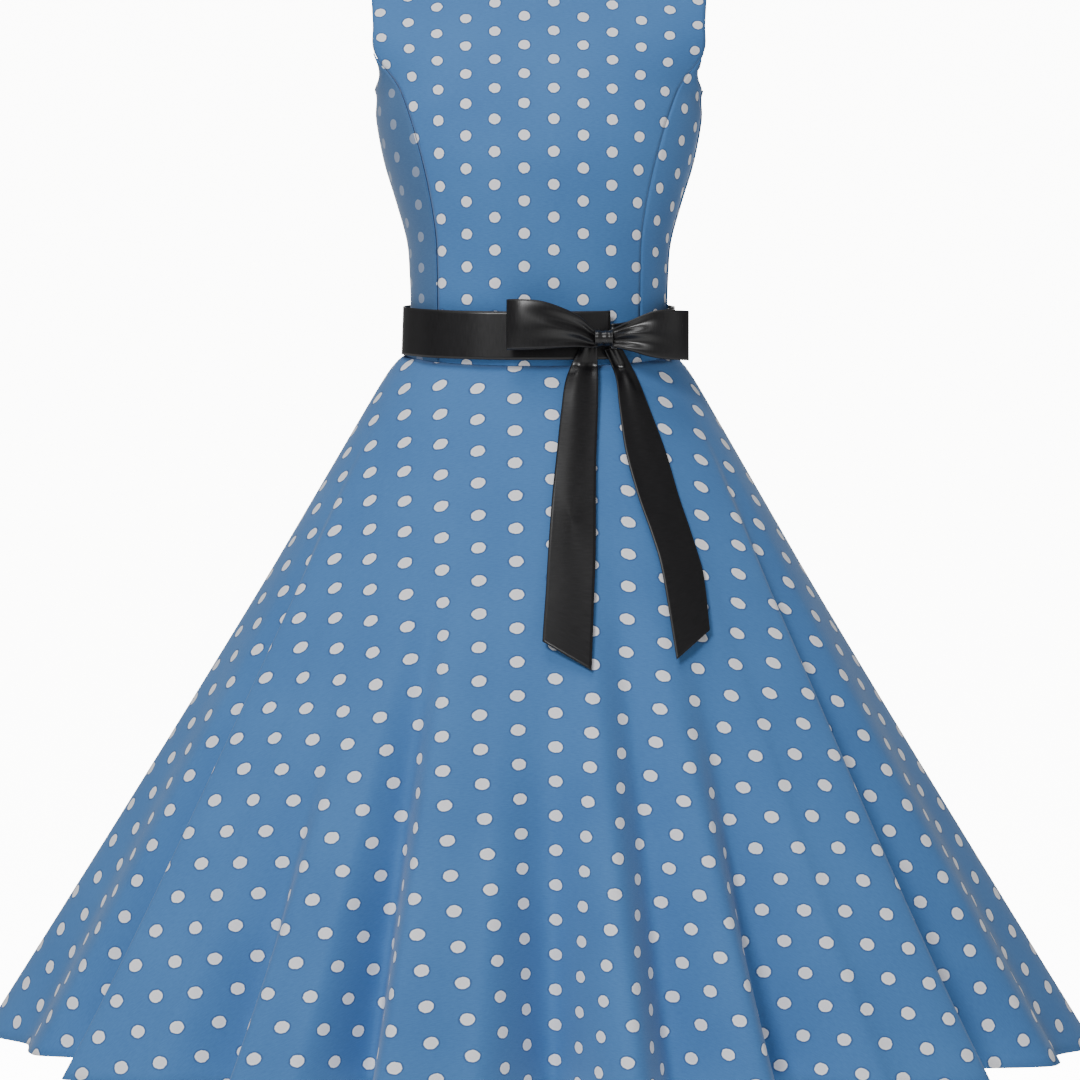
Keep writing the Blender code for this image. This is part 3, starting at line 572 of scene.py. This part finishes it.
def plated_metal():
    material, tree, shader = new_material("zip_metal")
    place = tree.nodes.new("ShaderNodeTexCoord")
    noise = tree.nodes.new("ShaderNodeTexNoise")
    noise.inputs["Scale"].default_value = 900.0
    tree.links.new(place.outputs["Object"], noise.inputs["Vector"])
    wear = Sock(tree, noise.outputs["Fac"])
    tree.links.new((wear * 0.25 + 0.15).socket, shader.inputs["Roughness"])
    colour = wear.ramp(0.35, 0.7).mixed(METAL_WORN, METAL_BRIGHT)
    tree.links.new(colour.socket, shader.inputs["Base Color"])
    shader.inputs["Metallic"].default_value = 1.0
    return material


# ------------------------------------------------------------------ making thin cloth
def spread(low, high, steps):
    return [low + (high - low) * step / steps for step in range(steps + 1)]


def shell(name, points, flat, thickness, outside, inside=None):
    """Thin cloth through rows of points; flat gives each point's place in the cut cloth."""
    rows, columns = len(points), len(points[0])
    mesh = bmesh.new()
    layer = mesh.loops.layers.uv.new("cloth")
    bmesh.ops.create_grid(mesh, x_segments=columns - 1, y_segments=rows - 1, size=1.0)
    spots = {}
    for vert in mesh.verts:
        column = round((vert.co.x + 1) / 2 * (columns - 1))
        row = round((vert.co.y + 1) / 2 * (rows - 1))
        spots[vert] = flat[row][column]
        vert.co = points[row][column]
    for face in mesh.faces:
        face.smooth = True
        for loop in face.loops:
            loop[layer].uv = spots[loop.vert]
    data = bpy.data.meshes.new(name)
    mesh.to_mesh(data)
    mesh.free()
    data.materials.append(outside)
    data.materials.append(inside or outside)
    piece = bpy.data.objects.new(name, data)
    bpy.context.scene.collection.objects.link(piece)
    wall = piece.modifiers.new("wall", "SOLIDIFY")
    wall.thickness = thickness
    wall.offset = -1.0
    wall.material_offset = 1
    return piece


def place_piece(piece, node):
    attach(piece, "dress")
    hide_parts(node)


def narrowed(places, surface, inset):
    """Draw the border rows and columns in, which leaves the fine seam lines."""
    last_row, last_column = len(places) - 1, len(places[0]) - 1
    result = []
    for row, line in enumerate(places):
        new_line = []
        for column, place in enumerate(line):
            inner = places[min(max(row, 1), last_row - 1)][min(max(column, 1), last_column - 1)]
            step = (surface(*inner) - surface(*place)).length
            share = min(0.8, inset / step) if step > 0 else 0.0
            new_line.append(tuple(old + (new - old) * share for old, new in zip(place, inner)))
        result.append(new_line)
    return result


def arc_from(start, angle, level, steps=10):
    """Length around the bodice at a level, between two angles."""
    stops = spread(start, angle, steps)
    spots = [bodice(stop, level) for stop in stops]
    return sum((after - before).length for before, after in zip(spots, spots[1:]))


def length_up(level, steps=40):
    """Length up the bodice from the waist to a level."""
    spots = [bodice(LENGTH_ANGLE, level * step / steps) for step in range(steps + 1)]
    return sum((after - before).length for before, after in zip(spots, spots[1:]))


def bodice_piece(name, places, centre, outside, inside):
    """A fine bodice panel; the dots run from the given centre line."""
    heights = {}
    first_dot, first_repeat = BODICE_DOT_START
    flat = []
    for line in places:
        flat_line = []
        for angle, level in line:
            key = round(level, 2)
            if key not in heights:
                heights[key] = length_up(key)
            way = math.copysign(1.0, angle)
            around = arc_from(centre * way, angle, level)
            turn = way if centre == 0 else -way
            flat_line.append((turn * around / BODICE_COLUMN + first_dot,
                              heights[key] / BODICE_REPEAT + first_repeat))
        flat.append(flat_line)
    points = [[bodice(*place) for place in line] for line in narrowed(places, bodice, SEAM_LINE)]
    return shell(name, points, flat, CLOTH, outside, inside)


def fine_rows(stops, pieces):
    rows = []
    for before, after in zip(stops, stops[1:]):
        rows += spread(before, after, pieces)[:-1]
    return rows + [stops[-1]]


def make_bodice(outside, inside):
    full_rows = fine_rows(list(range(0, SHOULDER + 1)), 5)
    side_rows = fine_rows(list(range(0, JOIN + 1)), 5)
    back_rows = fine_rows([*range(0, UNDERARM), *UNDERARM_ROWS, *range(JOIN, SHOULDER + 1)], 4)

    def shares_for(edge):
        corner = neck_column(edge)
        return spread(0, corner, 18) + spread(corner, 1, 14)[1:]

    shares = shares_for(front_edge)
    shares = [-share for share in reversed(shares[1:])] + shares
    tops = [column_top(abs(share), front_edge, FRONT_NECK_DEPTH) for share in shares]
    places = []
    for row in full_rows:
        levels = [column_level(row, top) for top in tops]
        places.append([(share * front_edge(level), level) for share, level in zip(shares, levels)])
    piece = bodice_piece("bodice_centre_front_cloth", places, 0.0, outside, inside)
    place_piece(piece, "bodice_centre_front")

    for side, word in ((1, "left"), (-1, "right")):
        places = []
        for row in side_rows:
            line = []
            for share in spread(0, 1, 16):
                level = row / JOIN * armhole_level(share)
                seam = front_edge(level)
                line.append((side * (seam + (math.pi / 2 - seam) * share), level))
            places.append(line)
        piece = bodice_piece(f"bodice_side_front_{word}_cloth", places, 0.0, outside, inside)
        place_piece(piece, "bodice_side_front_" + word)

        shares = shares_for(back_edge)
        tops = [column_top(share, back_edge, BACK_NECK_DEPTH) for share in shares]
        places = []
        for row in back_rows:
            levels = [column_level(row, top) for top in tops]
            places.append([(side * (math.pi - share * back_edge(level)), level)
                           for share, level in zip(shares, levels)])
        piece = bodice_piece(f"bodice_back_{word}_cloth", places, math.pi, outside, inside)
        place_piece(piece, "bodice_back_" + word)


def skirt_flat(lengths, line, row, column):
    """Place in the three-quarter circle cut, in dot columns and repeats."""
    radius = SKIRT_CUT_RADIUS + SKIRT_CUT_LENGTH * (1 - line[column][1])
    turn = lengths[row][column] / radius
    first_dot, first_repeat = SKIRT_DOT_START
    return (radius * math.sin(turn) / SKIRT_COLUMN + first_dot,
            first_repeat - (radius * math.cos(turn) - SKIRT_CUT_RADIUS) / SKIRT_REPEAT)


def skirt_piece(name, node, low, high, centre, outside, inside):
    columns = spread(low, high, round(abs(high - low) * COLUMNS_A_DEGREE))
    rises = spread(1.0, 0.9, 10) + spread(0.9, 0.0, 50)[1:]
    places = [[(angle, rise) for angle in columns] for rise in reversed(rises)]
    points = [[skirt(*place) for place in line] for line in narrowed(places, skirt, SEAM_LINE)]
    middle = min(range(len(columns)), key=lambda number: abs(columns[number] - centre))
    lengths = []
    for line in points:
        row = [0.0] * len(line)
        for number in range(middle + 1, len(line)):
            row[number] = row[number - 1] + (line[number] - line[number - 1]).length
        for number in range(middle - 1, -1, -1):
            row[number] = row[number + 1] - (line[number] - line[number + 1]).length
        lengths.append(row)
    flat = [[skirt_flat(lengths, line, row, column) for column in range(len(line))]
            for row, line in enumerate(places)]
    piece = shell(name, points, flat, CLOTH, outside, inside)
    place_piece(piece, node)


def make_skirt(outside, inside):
    skirt_piece("skirt_front_cloth", "skirt_front", -90, 90, 0, outside, inside)
    for word, low, high, centre in (("left", 90, 180, 180), ("right", -180, -90, -180)):
        skirt_piece(f"skirt_back_{word}_cloth", "skirt_back_" + word, low, high, centre,
                    outside, inside)


# ------------------------------------------------------------------ ribbon
def ribbon_piece(name, node, surface, lengthwise, crosswise, satin):
    """Ribbon through surface(place, across); the satin's own coordinates run along it."""
    places = [[(place, across) for place in lengthwise] for across in crosswise]
    points = [[surface(*place) for place in line] for line in places]
    run = [0.0]
    middle = points[len(points) // 2]
    for before, after in zip(middle, middle[1:]):
        run.append(run[-1] + (after - before).length)
    last = len(crosswise) - 1
    flat = [[(row / last, run[column]) for column in range(len(line))]
            for row, line in enumerate(places)]
    piece = shell(name, points, flat, RIBBON, satin)
    place_piece(piece, node)


def sash(angle, across):
    """Sash surface; angle in degrees, across -0.5 at its lower edge and 0.5 at its upper one."""
    flare = SASH_FLARE * (0.5 - across)
    turn = math.radians(angle)
    near_bow = math.exp(-((angle - BOW_ANGLE) / SASH_CREASE_REACH) ** 2)
    crease = SASH_CREASE * math.sin(across * 9 + angle * 0.05) * near_bow
    ripple = sum(depth * math.sin(math.radians(angle * count)) for depth, count in SASH_RIPPLES)
    extra = flare + crease + ripple
    x, y = section(turn, SASH_HALF_WIDTH + extra, SASH_FRONT + extra, SASH_BACK + extra,
                   SECTION_POWER)
    pinch = 1 - SASH_PINCH * math.exp(-((angle - BOW_ANGLE) / SASH_PINCH_SPREAD) ** 2)
    return Vector((x, y, SASH_HEIGHT - SASH_DIP * math.cos(turn) + SASH_WIDTH * pinch * across))


def loop_surface(turns, way):
    """Bow loop with gathers that fan out from the knot."""
    last = len(turns) - 1

    def ribbon(place, across):
        x, y = along(turns, "x", place), along(turns, "y", place)
        half = along(turns, "half_height", place)
        front = place < last / 2
        near_knot = math.exp(-((min(place, last - place) - GATHER_PLACE) / GATHER_REACH) ** 2)
        gather = LOOP_GATHER * near_knot * math.sin(across * 6.5 + 0.7)
        belly = LOOP_BELLY * (1 - across * across) * math.sin(math.pi * place / last) ** 2
        crease = LOOP_CREASE * math.exp(-((across - 0.75 + 0.28 * place) / 0.22) ** 2) * near_knot
        push = (gather + belly + crease) * (-1 if front else 1)
        return Vector((x, y + push, along(turns, "centre", place) + half * across * way))

    return ribbon


def tail_surface(hangs, slant):
    """Ribbon tail hanging over the skirt, with its slanted cut end."""
    last = len(hangs) - 1

    def ribbon(up, across):
        place = last * (1 - up)
        left, right = along(hangs, "left", place), along(hangs, "right", place)
        x = (left + right) / 2 + (right - left) * across
        end_share = soft_step((place - last + TAIL_END) / TAIL_END)
        z = along(hangs, "height", place) + slant * TAIL_CUT_SLANT * 2 * across * end_share
        near_knot = math.exp(-place / TAIL_FOLD_REACH)
        fold = TAIL_FOLD * near_knot * math.sin(across * 8.0 * slant + 0.6)
        curl = TAIL_CURL * (0.25 - across * across) * math.sin(place * 1.1 + slant)
        return Vector((x, front_of_skirt(x, z) - along(hangs, "lift", place) - fold - curl, z))

    return ribbon


def knot_surface(angle, across):
    """The ribbon wrapped once round the gathered loops, with its soft folds."""
    turn = math.radians(angle)
    waist = 1 - KNOT_WAIST * (1 - (2 * across) ** 2)
    pleat = 1 + KNOT_PLEAT * math.sin(across * KNOT_PLEATS)
    size = waist * pleat
    return KNOT_CENTRE + Vector((2 * KNOT_HALF_LENGTH * across,
                                 -math.cos(turn) * KNOT_HALF_DEPTH * size,
                                 math.sin(turn) * KNOT_HALF_HEIGHT * size))


def make_ribbon(satin):
    ribbon_piece("sash_band_ribbon", "sash_band", sash, spread(BOW_ANGLE + 0.3, BOW_ANGLE + 359.7, 220),
                 spread(-0.5, 0.5, 16), satin)
    for word, turns, way in (("right", LEFT_SIDE_LOOP, -1), ("left", RIGHT_SIDE_LOOP, 1)):
        ribbon_piece(f"bow_loop_{word}_ribbon", "bow_loop_" + word, loop_surface(turns, way),
                     spread(0, len(turns) - 1, 90), spread(-1, 1, 24), satin)
    ribbon_piece("bow_knot_ribbon", "bow_knot", knot_surface, spread(180.5, -179.5, 60),
                 spread(-0.5, 0.5, 18), satin)
    for word, hangs, slant in (("right", RIGHT_HAND_TAIL, -1), ("left", LEFT_HAND_TAIL, 1)):
        ribbon_piece(f"ribbon_tail_{word}_ribbon", "ribbon_tail_" + word, tail_surface(hangs, slant),
                     spread(1, 0, 90), spread(-0.5, 0.5, 16), satin)


# ------------------------------------------------------------------ studio
def make_camera():
    scene = bpy.context.scene
    camera_data = bpy.data.cameras.new("camera")
    camera_data.lens = LENS
    camera_data.sensor_width = SENSOR_WIDTH
    camera = bpy.data.objects.new("camera", camera_data)
    camera.location = (CAMERA_SIDE, -CAMERA_DISTANCE, CAMERA_HEIGHT)
    camera.rotation_euler = (math.pi / 2, 0, 0)
    scene.collection.objects.link(camera)
    scene.camera = camera


def stage_plane(name, half, stands, material):
    """A square of the studio, placed by the matrix stands."""
    mesh = bmesh.new()
    bmesh.ops.create_grid(mesh, x_segments=1, y_segments=1, size=half, matrix=stands)
    data = bpy.data.meshes.new(name)
    mesh.to_mesh(data)
    mesh.free()
    data.materials.append(material)
    plane = bpy.data.objects.new(name, data)
    bpy.context.scene.collection.objects.link(plane)


def make_surroundings():
    world = bpy.data.worlds.new("studio")
    bpy.context.scene.world = world
    world.use_nodes = True
    background = world.node_tree.nodes["Background"]
    background.inputs["Color"].default_value = (1.0, 1.0, 0.99, 1.0)
    background.inputs["Strength"].default_value = WORLD_GLOW

    paper, _, shader = new_material("studio_paper")
    shader.inputs["Base Color"].default_value = (0.95, 0.95, 0.94, 1.0)
    shader.inputs["Roughness"].default_value = 0.9
    shader.inputs["Emission Color"].default_value = (1.0, 1.0, 0.99, 1.0)
    shader.inputs["Emission Strength"].default_value = FLOOR_GLOW
    stage_plane("floor", FLOOR_HALF, Matrix.Translation((0, 0, FLOOR_HEIGHT)), paper)

    screen, _, shader = new_material("studio_screen")
    shader.inputs["Base Color"].default_value = (0.9, 0.9, 0.9, 1.0)
    shader.inputs["Emission Color"].default_value = (1.0, 1.0, 0.985, 1.0)
    shader.inputs["Emission Strength"].default_value = BACKDROP_GLOW
    upright = Matrix.Rotation(math.pi / 2, 4, "X")
    stage_plane("backdrop", BACKDROP_HALF, Matrix.Translation((0, BACKDROP, CAMERA_HEIGHT)) @ upright,
                screen)


def make_lights():
    for name, place, size, power in STUDIO_LIGHTS:
        light_data = bpy.data.lights.new(name, "AREA")
        light_data.shape = "SQUARE"
        light_data.size = size
        light_data.energy = power
        light = bpy.data.objects.new(name, light_data)
        light.location = place
        aim = Vector(LIGHTS_AIM) - Vector(place)
        light.rotation_euler = aim.to_track_quat("-Z", "Y").to_euler()
        bpy.context.scene.collection.objects.link(light)


def finish_zip():
    tape = woven_tape()
    metal = plated_metal()
    for node, material in (("zip_tape", tape), ("zip_slider", metal), ("zip_pull", metal)):
        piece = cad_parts[node]
        for slot_place in piece.material_slots:
            slot_place.material = material


outside = dotted_cotton("dress_cotton", 0.195, 0.165, COTTON, COTTON_SHADE, 1.0)
inside = dotted_cotton("dress_cotton_reverse", 0.19, 0.16, REVERSE, REVERSE_SHADE, PRINT_SHOWS_THROUGH)
make_bodice(outside, inside)
make_skirt(outside, inside)
make_ribbon(black_satin())
finish_zip()
make_camera()
make_surroundings()
make_lights()
